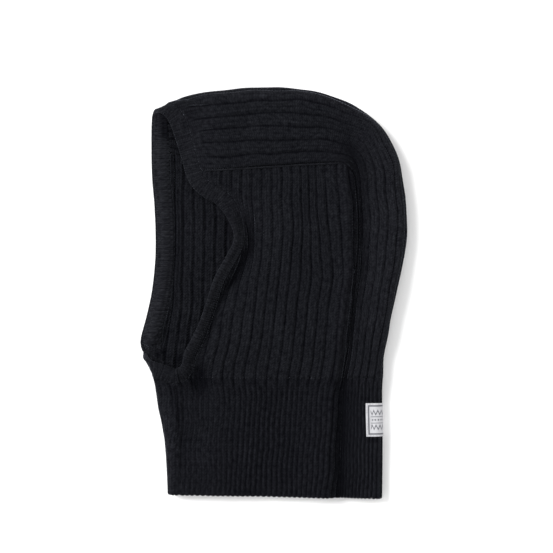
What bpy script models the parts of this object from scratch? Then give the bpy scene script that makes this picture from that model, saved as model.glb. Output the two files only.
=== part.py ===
"""Knitted balaclava lying flat on its right side, face opening towards -X, crown towards +Y.

Every piece is a stretch of one flattened hood: an upper layer, a lower layer on the
ground and the rounded folds that join them. Units are metres and +Z is up.
"""
import bmesh
import bpy
import numpy as np

MM = 0.001
KNIT = 4.0 * MM
GAP = 0.3 * MM
SEAM_HALF = 1.0 * MM
BAND_WIDTH = 14.0 * MM
BAND_SEAM = BAND_WIDTH + GAP + SEAM_HALF
NECK_LOFT = 20.0 * MM
HEAD_LOFT = 27.0 * MM
OPENING_SAG = 11.0 * MM
SAG_REACH = 32.0 * MM
LABEL_TOP = -105.0 * MM
LABEL_BOTTOM = -137.0 * MM
LABEL_FLAT = 6.0 * MM
LABEL_THICK = 0.6 * MM
LABEL_LIFT = 1.2 * MM
STITCH_WIDTH = 1.2 * MM
FOLD_STEPS = 6
BAND_STEPS = 47
NECK_ROWS = 17
PANEL_BASE = -80.7 * MM

YARN = (0.018, 0.019, 0.024)
TRIM_YARN = (0.024, 0.025, 0.031)
LABEL_WHITE = (0.82, 0.82, 0.80)
THREAD = (0.10, 0.10, 0.11)

# Plan outlines, in millimetres, seen from above.
NEAR_EDGE = [(-110, 164.5), (-102, 160), (-96, 149.5), (-90, 131), (-83, 107), (-71, 93), (-55, 83), (-44, 68),
             (-39, 51), (-46, 35), (-58, 13), (-65.5, -10), (-72, -29), (-79, -44), (-86, -57), (-89, -67),
             (-96, -71.5), (-108, -69)]
FAR_EDGE = [(-117, 162), (-118, 150), (-117.5, 112), (-115, 80), (-114, 40), (-117, 5), (-121, -18),
            (-125.5, -40), (-124.5, -52), (-117, -61)]
FAR_SEAM = [(-103.5, 169.5), (-102.5, 150), (-102, 112), (-99, 80), (-98, 40), (-100, 8), (-104, -14),
            (-108, -38), (-105, -56), (-107, -73)]
CROWN_FOLD = [(-99.3, 180.5), (-84, 185.2), (-55, 191.4), (-10, 194.5), (30, 191.6), (59.5, 184), (83, 173),
              (100.5, 158.5), (113.5, 138), (121, 111), (125.5, 68), (123.3, 38.5), (114.8, 0.5), (108.4, -30),
              (103.6, -57), (102, -80.7)]
CROWN_START_UPPER = [(-99.3, 180.5), (-93.5, 179.3), (-87.5, 172.8), (-80, 157.4), (-73, 137.5), (-66, 118.5)]
CROWN_START_LOWER = [(-99.3, 180.5), (-99, 168), (-99.5, 150), (-99.5, 116)]
PANEL_SEAM = [(-66.3, 115.5), (0, 119), (54, 122), (66, 120.5), (73, 113), (76, 100), (78, 50), (73, -7),
              (69, -55), (64, -80.7)]
LOWER_SEAM = [(-99.3, 114)] + PANEL_SEAM[1:]
NECK_TOP_UPPER = [(-118, -84.6), (-108, -87.7), (-92, -88.8), (-84, -86.7), (-74, -81.3), (102, -81.3)]
NECK_TOP_LOWER = [(-118, -84.6), (-108, -79), (-100, -81.3), (102, -81.3)]
NECK_FRONT = [(-118, -84.6), (-111.5, -101), (-107, -122), (-104.5, -142), (-102.7, -165), (-101.7, -190.5)]
NECK_BACK = [(102, -81.3), (101.2, -102), (101.8, -145), (101.3, -194.3)]


def resample(points, count):
    """Points evenly spaced by length along a polyline."""
    steps = np.linalg.norm(np.diff(points, axis=0), axis=1)
    along = np.concatenate([[0.0], np.cumsum(steps)])
    wanted = np.linspace(0.0, along[-1], count)
    return np.stack([np.interp(wanted, along, points[:, axis]) for axis in range(2)], axis=1)


def knot_curve(knots):
    """Smooth curve through knots given in millimetres, with 24 points from knot to knot."""
    knots = np.array(knots, float) * MM
    ends = np.vstack([2 * knots[0] - knots[1], knots, 2 * knots[-1] - knots[-2]])
    t = np.linspace(0.0, 1.0, 24, endpoint=False)[:, None]
    spans = []
    for a, b, c, d in zip(ends, ends[1:], ends[2:], ends[3:]):
        cubic = (3 * b - a - 3 * c + d) * t ** 3 + (2 * a - 5 * b + 4 * c - d) * t ** 2
        spans.append(0.5 * (cubic + (c - a) * t + 2 * b))
    return np.vstack(spans + [knots[-1:]])


def spline(knots, count):
    """Points evenly spaced on the smooth curve through the knots."""
    return resample(knot_curve(knots), count)


def offset(points, distance):
    """The plan curve moved sideways, to the left of its direction of travel when positive."""
    along = np.gradient(points, axis=0)
    along /= np.linalg.norm(along, axis=1)[:, None]
    return points + distance * np.stack([-along[:, 1], along[:, 0]], axis=1)


def smooth(low, high, value):
    """Smooth step from 0 at low to 1 at high."""
    t = np.clip((value - low) / (high - low), 0.0, 1.0)
    return t * t * (3 - 2 * t)


def upper_height(plan):
    """Height of the upper layer's outer face over plan points."""
    loft = NECK_LOFT + (HEAD_LOFT - NECK_LOFT) * smooth(-0.11, -0.03, plan[..., 1])
    edge = spline(NEAR_EDGE, 90)
    gaps = np.linalg.norm(plan[..., None, :] - edge, axis=-1).min(axis=-1)
    return loft - OPENING_SAG * np.exp(-(gaps / SAG_REACH) ** 2)


def lower_height(plan):
    """Height of the lower layer's outer face: the ground, but clear of the folded label."""
    middle = (LABEL_TOP + LABEL_BOTTOM) / 2
    near_label = np.exp(-((plan[..., 1] - middle) / 0.026) ** 4)
    return LABEL_LIFT * near_label * smooth(0.050, 0.075, plan[..., 0])


def with_height(plan, height):
    """Plan points given a height."""
    return np.concatenate([plan, height[..., None]], axis=-1)


def fill(bottom, top, left, right):
    """Plan grid, rows running from bottom to top, filled in between four boundary curves."""
    rows = np.linspace(0.0, 1.0, len(left))[:, None, None]
    columns = np.linspace(0.0, 1.0, len(bottom))[None, :, None]
    ruled = (1 - rows) * bottom[None] + rows * top[None]
    sides = (1 - columns) * left[:, None] + columns * right[:, None]
    corners = (1 - rows) * ((1 - columns) * bottom[0] + columns * bottom[-1])
    corners = corners + rows * ((1 - columns) * top[0] + columns * top[-1])
    return ruled + sides - corners


def grid_normals(grid, closed):
    """Unit normals of a surface grid, closed round its second axis or not."""
    down = np.gradient(grid, axis=0)
    if closed:
        across = np.roll(grid, -1, axis=1) - np.roll(grid, 1, axis=1)
    else:
        across = np.gradient(grid, axis=1)
    normals = np.cross(down, across)
    return normals / np.linalg.norm(normals, axis=-1)[..., None]


def add_part(name, color, vertices, faces):
    """One named object with its own material."""
    mesh = bpy.data.meshes.new(name)
    mesh.from_pydata([tuple(float(v) for v in vertex) for vertex in vertices], [], faces)
    work = bmesh.new()
    work.from_mesh(mesh)
    bmesh.ops.recalc_face_normals(work, faces=work.faces)
    work.to_mesh(mesh)
    work.free()
    material = bpy.data.materials.new(name)
    material.use_nodes = True
    shader = material.node_tree.nodes["Principled BSDF"]
    shader.inputs["Base Color"].default_value = (*color, 1.0)
    shader.inputs["Roughness"].default_value = 0.95
    shader.inputs["Metallic"].default_value = 0.0
    mesh.materials.append(material)
    part = bpy.data.objects.new(name, mesh)
    bpy.context.collection.objects.link(part)


def grid_solid(name, color, outer, inner, closed=False):
    """A closed solid between two matching grids, closed round their second axis or not."""
    rows, columns = outer.shape[:2]
    shift = rows * columns
    turns = columns if closed else columns - 1
    faces = []
    for row in range(rows - 1):
        for column in range(turns):
            a = row * columns + column
            b = row * columns + (column + 1) % columns
            faces.append((a, b, b + columns, a + columns))
            faces.append((a + shift, a + columns + shift, b + columns + shift, b + shift))
    for row in (0, rows - 1):
        for column in range(turns):
            a = row * columns + column
            b = row * columns + (column + 1) % columns
            faces.append((a, a + shift, b + shift, b))
    if not closed:
        for column in (0, columns - 1):
            for row in range(rows - 1):
                a = row * columns + column
                faces.append((a, a + columns, a + columns + shift, a + shift))
    add_part(name, color, np.concatenate([outer.reshape(-1, 3), inner.reshape(-1, 3)]), faces)


def fold_fractions(radius, width, flat_steps):
    """Distances in from a fold, and the sine of the fold's angle at each of them."""
    angles = np.linspace(0.0, np.pi / 2, FOLD_STEPS)
    flat = np.linspace(radius, width, flat_steps + 1)[1:]
    distances = np.concatenate([radius * (1 - np.cos(angles)), flat])
    return distances, np.concatenate([np.sin(angles), np.ones(flat_steps)])


def fold_level(plan, side, sines):
    """Height on the upper (side 1) or lower (side -1) half of a fold."""
    top = upper_height(plan)
    low = lower_height(plan)
    return (top + low) / 2 + side * sines * (top - low) / 2


def crown_half(fold, goal, start, side):
    """Rows from the crown fold to a panel seam, with the first row bent along the face band."""
    rows = []
    radii = upper_height(fold) / 2
    for index, (point, end, radius) in enumerate(zip(fold, goal, radii)):
        width = np.linalg.norm(end - point)
        distances, sines = fold_fractions(radius, width, 5)
        share = distances / width
        plan = point + (end - point) * share[:, None]
        if index == 0:
            path = resample(start, 200)
            bent = np.stack([np.interp(share, np.linspace(0, 1, 200), path[:, axis]) for axis in range(2)], axis=1)
            bend = bent - plan
        plan = plan + bend * max(0.0, 1 - index / 10)
        rows.append(with_height(plan, fold_level(plan, side, sines)))
    return np.array(rows)


def crown_back_panel():
    """Centre gusset from the forehead over the crown and down the back of the head."""
    count = 44
    fold = spline(CROWN_FOLD, count)
    halves = []
    for seam, start, side in ((PANEL_SEAM, CROWN_START_UPPER, 1), (LOWER_SEAM, CROWN_START_LOWER, -1)):
        line = offset(spline(seam, 300), SEAM_HALF + GAP)
        corner = np.argmax(line[:, 0] + line[:, 1]) / 299
        wanted = np.linspace(0.0, 1.0, count)
        spread = np.interp(wanted, [0.0, 0.40, 0.60, 1.0], [0.0, corner - 0.03, corner + 0.03, 1.0])
        goal = np.stack([np.interp(spread, np.linspace(0, 1, 300), line[:, axis]) for axis in range(2)], axis=1)
        halves.append(crown_half(fold, goal, spline(start, 200), side))
    outer = np.concatenate([halves[0][:, ::-1], halves[1][:, 1:]], axis=1)
    grid_solid("crown_back_panel", YARN, outer, outer - KNIT * grid_normals(outer, False))


def left_side_panel():
    """Upper ribbed panel between face band, crown seam, back seam and neck."""
    seam = offset(spline(PANEL_SEAM, 200), -(SEAM_HALF + GAP))
    corner = int(np.argmax(seam[:, 0] + seam[:, 1]))
    band = offset(spline(NEAR_EDGE, BAND_STEPS), BAND_SEAM + SEAM_HALF + GAP)
    below = int(np.argmax(band[:, 1] < PANEL_BASE))
    left = band[:below][band[:below, 1] < seam[0, 1] - GAP][::-1]
    top = resample(np.vstack([left[-1:], seam[2:corner + 1]]), 15)
    right = resample(seam[corner:][::-1], len(left))
    left[0, 1] = right[0, 1] = PANEL_BASE
    bottom = np.linspace(left[0], right[0], 15)
    plan = fill(bottom, top, left, right)
    outer = with_height(plan, upper_height(plan))
    grid_solid("left_side_panel", YARN, outer, outer + KNIT * grid_normals(outer, False))


def right_side_panel():
    """Lower ribbed panel, a flat layer on the ground."""
    seam = offset(spline(LOWER_SEAM, 60), -(SEAM_HALF + GAP))
    far = band_far(1.0 + (SEAM_HALF + 2 * GAP) / BAND_SEAM)
    kept = far[(far[:, 1] < seam[0, 1]) & (far[:, 1] > -0.062)]
    outline = [(-0.100, PANEL_BASE)] + [tuple(p) for p in kept[::-1]] + [tuple(p) for p in seam[1:]]
    count = len(outline)
    vertices = [(x, y, 0.0) for x, y in outline] + [(x, y, KNIT) for x, y in outline]
    faces = [tuple(range(count)), tuple(range(count, 2 * count))]
    for index in range(count):
        after = (index + 1) % count
        faces.append((index, after, after + count, index + count))
    add_part("right_side_panel", YARN, vertices, faces)


def seam_strip(name, knots, height):
    """Narrow linked seam lying along a panel's edge."""
    line = spline(knots, 110)
    plan = np.stack([offset(line, -SEAM_HALF), offset(line, SEAM_HALF)])
    inner_side = -1.0 if height is upper_height else 1.0
    outer = with_height(plan, height(plan))
    grid_solid(name, TRIM_YARN, outer, outer - inner_side * KNIT * grid_normals(outer, False))


def neck_rib():
    """Flattened neck tube with rounded front and back folds."""
    back, front = spline(NECK_BACK, NECK_ROWS), spline(NECK_FRONT, NECK_ROWS)
    shares = np.linspace(0.0, 1.0, NECK_ROWS)
    rings = []
    for share, rear, fore in zip(shares, back, front):
        ring = []
        width = rear[0] - fore[0]
        radius = NECK_LOFT / 2
        ends, sines = fold_fractions(radius, width / 2, 10)
        across = np.concatenate([ends, width - ends[-2::-1]]) / width
        turn = np.concatenate([sines, sines[-2::-1]])
        for side, knots in ((1, NECK_TOP_UPPER), (-1, NECK_TOP_LOWER)):
            edge = np.array(knots, float) * MM
            top_x = NECK_BACK[0][0] * MM + (NECK_FRONT[0][0] - NECK_BACK[0][0]) * MM * across
            top_y = np.interp(top_x, edge[:, 0], edge[:, 1])
            hem_y = (NECK_BACK[-1][1] + (NECK_FRONT[-1][1] - NECK_BACK[-1][1]) * across) * MM
            plan = np.stack([rear[0] - width * across, (1 - share) * top_y + share * hem_y], axis=1)
            ring.append(with_height(plan, fold_level(plan, side, turn)))
        rings.append(np.concatenate([ring[0], ring[1][-2:0:-1]]))
    outer = np.array(rings)
    grid_solid("neck_rib", YARN, outer, outer + KNIT * grid_normals(outer, True), closed=True)


def band_far(share):
    """Lower run of the face band, at a share of the way from free edge to seam."""
    return ((1 - share) * knot_curve(FAR_EDGE) + share * knot_curve(FAR_SEAM))[::6]


def band_turn(first, last, outward):
    """Rounded fold of the face band between two layer ends."""
    angles = np.linspace(-np.pi / 2, np.pi / 2, 2 * FOLD_STEPS)[1:-1]
    share = np.linspace(0.0, 1.0, 2 * FOLD_STEPS)[1:-1, None]
    middle, radius = (first[2] + last[2]) / 2, (last[2] - first[2]) / 2
    plan = (1 - share) * first[:2] + share * last[:2]
    plan = plan + np.array(outward) * abs(radius) * np.cos(angles)[:, None]
    return with_height(plan, middle + radius * np.sin(angles))


def band_loop(share):
    """Closed run round the face opening, from free edge (0) to the band seam (1)."""
    near = offset(spline(NEAR_EDGE, BAND_STEPS), share * BAND_SEAM)
    near = with_height(near, upper_height(near))
    far = band_far(share)[::-1]
    far = with_height(far, lower_height(far))
    chin = band_turn(near[-1], far[0], (-1.0, 0.0))
    forehead = band_turn(far[-1], near[0], (-0.75, 0.65))
    return np.concatenate([near, chin, far, forehead])


def face_band():
    """Face band with the join that closes it and the seam that holds it to the panels."""
    outer = np.array([band_loop(share) for share in (0.0, 0.45, (BAND_WIDTH - 4 * GAP) / BAND_SEAM)])
    inner = outer + KNIT * grid_normals(outer, True)
    cut = 43
    outer, inner = np.roll(outer, -cut, axis=1), np.roll(inner, -cut, axis=1)
    run = []
    for grid in (outer, inner):
        start = grid[:, :1] + 0.35 * (grid[:, 1:2] - grid[:, :1])
        run.append(np.concatenate([start, grid[:, 1:], grid[:, :1]], axis=1))
    grid_solid("face_band", YARN, run[0], run[1])
    ends = []
    for grid in run:
        reach = grid[:, 0] - grid[:, -1]
        step = GAP * reach / np.linalg.norm(reach, axis=1)[:, None]
        ends.append(np.stack([grid[:, -1] + step, grid[:, 0] - step], axis=1))
    grid_solid("band_join_seam", TRIM_YARN, ends[0], ends[1])
    half = SEAM_HALF / BAND_SEAM
    seam = np.array([band_loop(1.0 - 0.7 * half), band_loop(1.0 + half)])
    grid_solid("face_band_seam", TRIM_YARN, seam, seam + KNIT * grid_normals(seam, True), closed=True)


def label_point(arc, y, out):
    """Point on the back fold of the neck: arc length round it, height up it, distance out."""
    edge = spline(NECK_BACK, 60)
    back = np.interp(-y, -edge[:, 1], edge[:, 0])
    spot = np.array([back - NECK_LOFT / 2, y])
    top, low = upper_height(spot), lower_height(spot)
    radius = (top - low) / 2
    angle = max(-np.pi / 2, min(np.pi / 2, arc / radius))
    straight = max(0.0, abs(arc) - radius * np.pi / 2)
    x = back - NECK_LOFT / 2 + (NECK_LOFT / 2 + out) * np.cos(angle) - straight
    return (x, y, (top + low) / 2 + (radius + out) * np.sin(angle))


def label_grid(arcs, heights, out):
    """Surface grid over the back fold of the neck."""
    return np.array([[label_point(arc, y, out) for arc in arcs] for y in heights])


def woven_label():
    """Cloth label folded round the back of the neck, and the thread frame that holds it."""
    reach = NECK_LOFT * np.pi / 4 + LABEL_FLAT
    arcs = np.linspace(-reach, reach, 25)
    heights = np.linspace(LABEL_TOP, LABEL_BOTTOM, 7)
    low, high = GAP, GAP + LABEL_THICK
    grid_solid("woven_label", LABEL_WHITE, label_grid(arcs, heights, high), label_grid(arcs, heights, low))
    rings = []
    for grow in (GAP, GAP + STITCH_WIDTH):
        top, bottom, wide = LABEL_TOP + grow, LABEL_BOTTOM - grow, reach + grow
        sides = [(arc * wide / reach, top) for arc in arcs]
        sides += [(wide, y) for y in np.linspace(top, bottom, 8)[1:-1]]
        sides += [(arc * wide / reach, bottom) for arc in arcs[::-1]]
        sides += [(-wide, y) for y in np.linspace(bottom, top, 8)[1:-1]]
        rings.append(sides)
    outer = np.array([[label_point(arc, y, high) for arc, y in ring] for ring in rings])
    inner = np.array([[label_point(arc, y, low) for arc, y in ring] for ring in rings])
    grid_solid("label_stitching", THREAD, outer, inner, closed=True)


for leftover in list(bpy.data.objects):
    bpy.data.objects.remove(leftover, do_unlink=True)

left_side_panel()
right_side_panel()
crown_back_panel()
neck_rib()
face_band()
seam_strip("left_panel_seam", PANEL_SEAM, upper_height)
seam_strip("right_panel_seam", LOWER_SEAM, lower_height)
woven_label()
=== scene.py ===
"""Looks of the knitted balaclava laid flat on its right side. Lengths are millimetres until meshed.

Outer faces of the two layers are height fields over the plan. Every knit piece is a grid on one of them,
given a thickness, ribs on both faces and rounded rims.
"""
import math

import bpy
import numpy as np
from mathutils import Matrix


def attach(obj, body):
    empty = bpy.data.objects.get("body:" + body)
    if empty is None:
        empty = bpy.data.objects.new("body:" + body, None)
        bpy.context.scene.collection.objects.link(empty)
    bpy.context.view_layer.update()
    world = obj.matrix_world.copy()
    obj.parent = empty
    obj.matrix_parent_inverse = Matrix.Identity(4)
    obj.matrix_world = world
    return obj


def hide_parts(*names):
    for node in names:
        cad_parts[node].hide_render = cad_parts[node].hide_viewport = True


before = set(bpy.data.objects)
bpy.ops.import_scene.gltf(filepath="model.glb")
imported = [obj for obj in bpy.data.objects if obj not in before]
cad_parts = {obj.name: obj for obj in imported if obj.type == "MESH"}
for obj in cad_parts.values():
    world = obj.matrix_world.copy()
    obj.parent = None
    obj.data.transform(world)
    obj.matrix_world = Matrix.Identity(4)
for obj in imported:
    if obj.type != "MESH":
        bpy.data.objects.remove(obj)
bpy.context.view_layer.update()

THICK = 3.2           # knit between the ribs of its two faces
WIDE_AMP = 1.9        # height of the wide ribs
FINE_AMP = 1.2        # height of the one-by-one ribs
COURSE = 2.7          # height of one knitted row
BAND = 15.3           # face band, free edge to seam
BAND_PITCH = 4.3      # rib spacing along the band
PANEL_BASE = -81.0    # join of the panels and the neck
GROUND = 0.1          # lowest point of any layer: its ribs are pressed flat where the hood lies on the floor
GUSSET_RIBS = 6.5     # ribs from a panel seam to the middle of the crown panel
LABEL_TOP, LABEL_BOTTOM, LABEL_REACH = -105.0, -136.6, 17.2
LABEL_SHIFT = 1.0     # the label sits this far past the fold, on to the upper side
PATTERN_HALF = 16.0   # half the height that the label's border is measured from
STITCH, STITCH_STEP, STITCH_INSET = 1.7, 2.6, 0.9       # the label's stitches
SEAM_GAP = 0.5        # from the middle of a seam to the cloth on either side
SEAM_PITCH = 2.6      # twist of the seam yarn
HEM_BACK, HEM_RISE = -195.5, 3.8    # hem at the back of the neck, and how much higher its front is
FOLD_REACH = 9.0      # how far in from a neck fold the two layers' heights give its radius

NEAR_EDGE = [(-106, 169), (-100.5, 162), (-96.5, 151), (-90, 131), (-83, 107), (-71, 93), (-55, 83),
             (-44, 68), (-39, 51), (-46, 35), (-58, 13), (-65.5, -10), (-72, -29), (-79, -44), (-86, -57),
             (-88, -67.5), (-93.5, -72.3), (-100.7, -70), (-107, -67.6), (-113, -66.6)]
FAR_EDGE = [(-117.5, 168), (-118, 150), (-117.5, 112), (-115, 80), (-114, 40), (-117, 5), (-122, -20),
            (-127.8, -42), (-128.2, -50.5), (-125.8, -58)]
FAR_SEAM = [(-104, 171.5), (-102.5, 150), (-102, 112), (-99, 80), (-98, 40), (-100, 8), (-105, -18),
            (-110, -38), (-107, -58), (-105, -77)]
CROWN_FOLD = [(-103, 177.5), (-84, 184.6), (-55, 190), (-10, 193.2), (30, 190.4), (59, 183), (82, 172.3),
              (99, 158), (111.2, 138), (119.2, 111), (123.8, 68), (121.8, 38.5), (113.4, 0.5), (107, -30),
              (102.3, -57), (100.7, -81)]
PANEL_SEAM = [(-66.3, 115.5), (0, 119), (54, 122), (66, 120.5), (73, 113), (76, 100), (78, 50), (73, -7),
              (69, -55), (64, -81)]
LOWER_SEAM = [(-100, 133), (-40, 122)] + PANEL_SEAM[1:]
NECK_FRONT = [(-118, -83), (-114, -95), (-107, -122), (-103.5, -142), (-101.7, -165), (-100.7, -191.5)]
NECK_BACK = [(100.7, -81), (100.5, -102), (101, -145), (100.5, -195.3)]
VALLEY = [(60, 155), (68, 144), (73, 134), (76, 122), (78, 108), (79.5, 88), (80.5, 50), (80.5, 24), (77, 0),
          (72.5, -29), (69, -56), (65, -81), (63.6, -108), (61.5, -163), (60.5, -200)]
RIB_TRACK = [(24, 125), (24.5, 107), (26.3, 80), (26.4, 54), (25.5, 27), (22.7, 0), (20, -26), (16.5, -53),
             (13, -80), (11, -98), (9.5, -128), (7.6, -158), (5.5, -195)]


# ---------------------------------------------------------------- curves and fields
def knot_curve(knots):
    """Smooth curve through the knots, 24 points from knot to knot."""
    knots = np.array(knots, float)
    ends = np.vstack([2 * knots[0] - knots[1], knots, 2 * knots[-1] - knots[-2]])
    t = np.linspace(0.0, 1.0, 24, endpoint=False)[:, None]
    spans = []
    for a, b, c, d in zip(ends, ends[1:], ends[2:], ends[3:]):
        cubic = (3 * b - a - 3 * c + d) * t ** 3 + (2 * a - 5 * b + 4 * c - d) * t ** 2
        spans.append(0.5 * (cubic + (c - a) * t + 2 * b))
    return np.vstack(spans + [knots[-1:]])


def arc(points, axis=0):
    """Length from the first point along a polyline, or along the columns (0) or rows (1) of a grid."""
    steps = np.linalg.norm(np.diff(points, axis=axis), axis=-1)
    start = np.zeros_like(np.take(steps, [0], axis=axis))
    return np.concatenate([start, np.cumsum(steps, axis=axis)], axis=axis)


def at(points, wanted):
    """Points of a polyline at the given lengths along it."""
    along = arc(points)
    return np.stack([np.interp(wanted, along, column) for column in points.T], axis=-1)


def resample(points, count):
    return at(points, np.linspace(0.0, arc(points)[-1], count))


def spline(knots, count):
    return resample(knot_curve(knots), count)


def left_normals(points):
    along = np.gradient(points, axis=0)
    along /= np.linalg.norm(along, axis=1)[:, None]
    return np.stack([-along[:, 1], along[:, 0]], axis=1)


def offset(points, distance):
    return points + distance * left_normals(points)


def smooth(low, high, value):
    t = np.clip((value - low) / (high - low), 0.0, 1.0)
    return t * t * (3 - 2 * t)


def bell(value, width):
    return np.exp(-(value / width) ** 2)


def hump(value, half, power):
    """Like bell, flatter on top and steeper at the sides the higher the power."""
    return np.exp(-np.abs(value / half) ** power)


def table(value, pairs):
    """Piecewise-linear look-up."""
    pairs = np.array(pairs, float)
    return np.interp(value, pairs[:, 0], pairs[:, 1])


def waves(x, y, size, seed):
    """Smooth random field of about unit height whose lumps are about size across."""
    rng = np.random.default_rng(seed)
    total = np.zeros(np.broadcast(x, y).shape)
    for _ in range(14):
        angle, phase = rng.uniform(0, 2 * math.pi, 2)
        turn = 2 * math.pi / (size * rng.uniform(0.7, 1.8))
        total = total + np.sin(turn * (x * math.cos(angle) + y * math.sin(angle)) + phase)
    return total / math.sqrt(7)


def nearest(x, y, line):
    """Signed distance from a line (left positive) and length along it, over a lattice."""
    normals, along = left_normals(line), arc(line)
    distance, length = np.empty(x.size), np.empty(x.size)
    spots = np.stack([x.ravel(), y.ravel()], axis=1)
    at_once = 8000
    for start in range(0, len(spots), at_once):
        part = slice(start, start + at_once)
        chunk = spots[part]
        gaps = ((chunk[:, None] - line[None]) ** 2).sum(axis=-1)
        index = gaps.argmin(axis=1)
        side = np.sign(((chunk - line[index]) * normals[index]).sum(axis=1))
        distance[part] = side * np.sqrt(gaps[np.arange(len(chunk)), index])
        length[part] = along[index]
    return distance.reshape(x.shape), length.reshape(x.shape)


def blur(field, size):
    reach = int(3 * size) + 1
    kernel = np.exp(-0.5 * (np.arange(-reach, reach + 1) / size) ** 2)
    kernel /= kernel.sum()
    for axis in (0, 1):
        padded = np.pad(field, [(reach, reach) if a == axis else (0, 0) for a in (0, 1)], mode="edge")
        field = np.apply_along_axis(lambda row: np.convolve(row, kernel, mode="valid"), axis, padded)
    return field


LATTICE_X, LATTICE_Y = np.arange(-145.0, 146.0), np.arange(-210.0, 211.0)
LATTICE = np.meshgrid(LATTICE_X, LATTICE_Y)
FROM_VALLEY = nearest(*LATTICE, spline(VALLEY, 400))
FROM_BAND_EDGE = nearest(*LATTICE, spline(NEAR_EDGE, 500))


def sample(field, plan):
    """Value of a lattice field at plan points (..., 2), in millimetres."""
    x = np.clip(plan[..., 0] - LATTICE_X[0], 0, len(LATTICE_X) - 1.001)
    y = np.clip(plan[..., 1] - LATTICE_Y[0], 0, len(LATTICE_Y) - 1.001)
    i, j = x.astype(int), y.astype(int)
    fx, fy = x - i, y - j
    low = field[j, i] * (1 - fx) + field[j, i + 1] * fx
    high = field[j + 1, i] * (1 - fx) + field[j + 1, i + 1] * fx
    return low * (1 - fy) + high * fy


def upper_field():
    """Height of the upper layer's outer face."""
    x, y = LATTICE
    neck = 1 - smooth(-104, -74, y)
    z = 16.5 + 8.5 * smooth(-108, -25, y)
    z += 3.0 * bell(x - 10, 85) * bell(y - 152, 34)
    z += 2.0 * bell(x - 22, 50) * bell(y - 35, 85)
    z += neck * (2.6 * bell(x - 42, 14) + 2.0 * bell(x + 97, 7))
    z -= neck * (1.5 * bell(x + 5, 35) + 1.5 * smooth(84, 94, x))
    z -= neck * 2.2 * bell(x + 88 - 0.05 * (y + 130), 4.0) * (1 - smooth(-112, -96, y))
    across, along = FROM_VALLEY
    depth = table(along, [(0, 0), (15, 4), (38, 8.5), (70, 11.3), (171, 11.5), (216, 9.5), (246, 8),
                          (281, 7.5)])
    z -= depth * hump(across, np.where(across < 0, 6.0, 13.0), 1.7) * smooth(-4, 12, along)
    z += 2.2 * bell(across + 11.5, 5) * smooth(30, 70, along)
    crease, _ = nearest(x, y, spline(PANEL_SEAM[:4], 200))
    z -= 0.3 * bell(crease, 2.2)
    t, s = FROM_BAND_EDGE
    t = np.abs(t)
    low = table(s, [(0, 12), (20, 11), (70, 10), (110, 8), (142, 4), (210, 4), (240, 2.5), (306, 2)])
    z -= low * bell(t, 30)
    crest = table(s, [(112, 0), (128, 5), (142, 10.5), (175, 11), (205, 9), (228, 8), (248, 7), (266, 6),
                      (280, 3), (300, 2.5)])
    top = table(s, [(112, 4), (142, 4), (170, 4.2), (200, 3.5), (228, 3.5), (262, 6)])
    z += crest * bell(t - top, np.where(t < top, 7.5, 6.0))
    pit = table(s, [(104, 0), (120, 5), (136, 8.5), (178, 8), (200, 6.5), (222, 5), (245, 4.5), (264, 5.5),
                    (278, 0)])
    middle = table(s, [(104, 15), (142, 17), (170, 18), (190, 14), (208, 11), (240, 11)])
    half = table(s, [(104, 7), (136, 10.5), (170, 10.5), (190, 8), (208, 6.5), (240, 6)])
    z -= pit * hump(t - middle, half, 2.3)
    z -= 8.5 * hump(x + 68.5, 9, 2.6) * hump(y + 82, 15, 3)
    z += 0.8 * waves(x, y, 70, 3) + 0.4 * waves(x, y, 26, 4)
    least = 10.0
    z = least + 0.5 * (z - least + np.sqrt((z - least) ** 2 + 3.0))
    return blur(z, 1.3)


def lower_field():
    """Height of the lower layer's outer face, which lies on the ground."""
    x, y = LATTICE
    t, s = nearest(x, y, knot_curve(FAR_EDGE))
    curl = table(s, [(0, 2.5), (40, 6), (150, 6), (185, 7), (203, 8), (214, 5), (225, 0.5), (235, 0)])
    z = 1.4 + curl * bell(np.abs(t) - 11.0, 6.5) * smooth(-1, 9, np.abs(t))
    z += 2.0 * bell(y + 121, 30) ** 2 * smooth(50, 75, x)
    return blur(z, 1.0)


def shade_fields():
    """Painted shade where the cloth is folded in deeply: the folds of the upper layer, the pockets inside
    the opening.
    """
    x, y = LATTICE
    across, along = FROM_VALLEY
    shift = table(y, [(-85, 1.0), (-77, 0.5), (-10, 0.5), (15, -0.5), (120, -0.8)])
    half = table(y, [(-85, 6.2), (-77, 4.2), (-60, 3.6), (-10, 4.0), (15, 8.5), (120, 9)])
    folds = hump(across - shift, half, 2.6) * smooth(3, 26, along)
    folds = folds * table(y, [(-120, 0.74), (-100, 0.64), (-80, 0.72), (0, 0.70), (25, 0.60)])
    t, s = FROM_BAND_EDGE
    middle = table(s, [(120, 16), (141, 15.5), (158, 16), (175, 15), (194, 11.5), (214, 9), (234, 10)])
    half = table(s, [(120, 6), (141, 10.5), (158, 11.5), (175, 10.5), (194, 7), (214, 5), (234, 4)])
    depth = table(s, [(112, 0), (128, 0.5), (142, 0.7), (178, 0.68), (200, 0.6), (230, 0.5), (255, 0.55),
                      (270, 0.3), (278, 0)])
    folds = np.maximum(folds, depth * hump(np.abs(t) - middle, half, 2.5))
    folds = np.maximum(folds, 0.9 * hump(x + 70.5, 11.5, 2.5) * hump(y + 81, 15, 2.5))
    forehead = hump(x + 102, 9.5, 4) * smooth(136, 150, y)
    pockets = np.maximum(bell(x + 110, 10) * bell(y + 58, 10), forehead)
    pockets = np.maximum(pockets, 0.95 * bell(x + 92, 6) * bell(y + 64, 9))
    return folds ** 0.35, 0.97 * pockets ** 0.5


UPPER, LOWER = upper_field(), lower_field()
FOLD_SHADE, POCKET_SHADE = shade_fields()


# ---------------------------------------------------------------- ribs and knit layers
def hollow(phase):
    """How deep a point lies between two ribs: 0 on a rib, 1 at the bottom."""
    return np.abs(2 * (phase - np.floor(phase)) - 1)


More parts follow.
